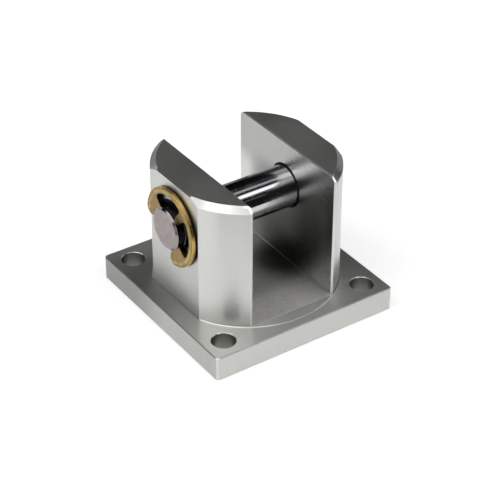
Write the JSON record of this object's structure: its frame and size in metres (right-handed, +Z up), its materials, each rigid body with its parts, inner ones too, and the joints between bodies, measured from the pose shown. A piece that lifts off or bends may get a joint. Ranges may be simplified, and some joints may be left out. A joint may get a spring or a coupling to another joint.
{
  "type": "clevis bracket",
  "caption": "Aluminium clevis bracket: square bolt-down plate, slotted round boss with flats, and a polished cross pin held by E-clips.",
  "frame": {"origin": "centre of the plate's underside", "axes": "+X along the pin, +Y along the slot, +Z up from the mounting face through the middle of the bolt pattern"},
  "size_m": [0.048, 0.048, 0.037],
  "materials": {
    "machined_aluminium": "fine milled satin with lightly broken edges",
    "polished_steel": "ground and polished bright, end faces satin",
    "yellow_zinc": "stamped and yellow zinc plated, slightly iridescent"
  },
  "bodies": {
    "bracket": {"bracket": "machined_aluminium"},
    "pin": {"clevis_pin": "polished_steel", "left_clip": "yellow_zinc", "right_clip": "yellow_zinc"}
  },
  "joints": [
    {"name": "pin_spin", "type": "hinge", "parent": "bracket", "child": "pin", "pos_m": [0, 0, 0.0258], "axis": [1, 0, 0], "continuous": true}
  ]
}
